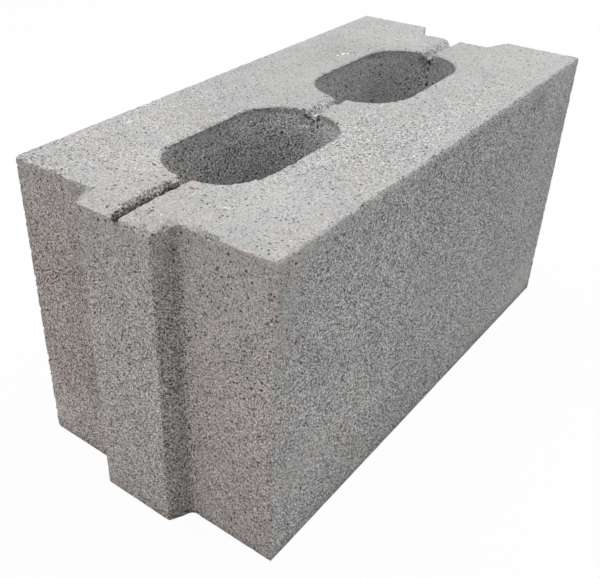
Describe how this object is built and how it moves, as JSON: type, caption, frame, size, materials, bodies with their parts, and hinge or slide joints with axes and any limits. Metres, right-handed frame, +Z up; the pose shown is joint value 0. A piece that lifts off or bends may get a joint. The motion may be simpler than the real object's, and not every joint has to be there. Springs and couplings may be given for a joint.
{
  "type": "concrete masonry block",
  "caption": "Hollow concrete masonry block with a tongue on one end, a matching groove in the other, rounded tapered through cores and a shallow slot along the top.",
  "frame": {"origin": "on the bed face, under the middle of the block's overall length and width", "axes": "+X along the block from the tongue end to the groove end, +Y across it, +Z up from the bed face to the slotted top face"},
  "size_m": [0.4, 0.19, 0.21],
  "materials": {
    "concrete": "fine open-grained pressed concrete, matt"
  },
  "bodies": {
    "root": {"concrete_block": "concrete"}
  },
  "joints": []
}
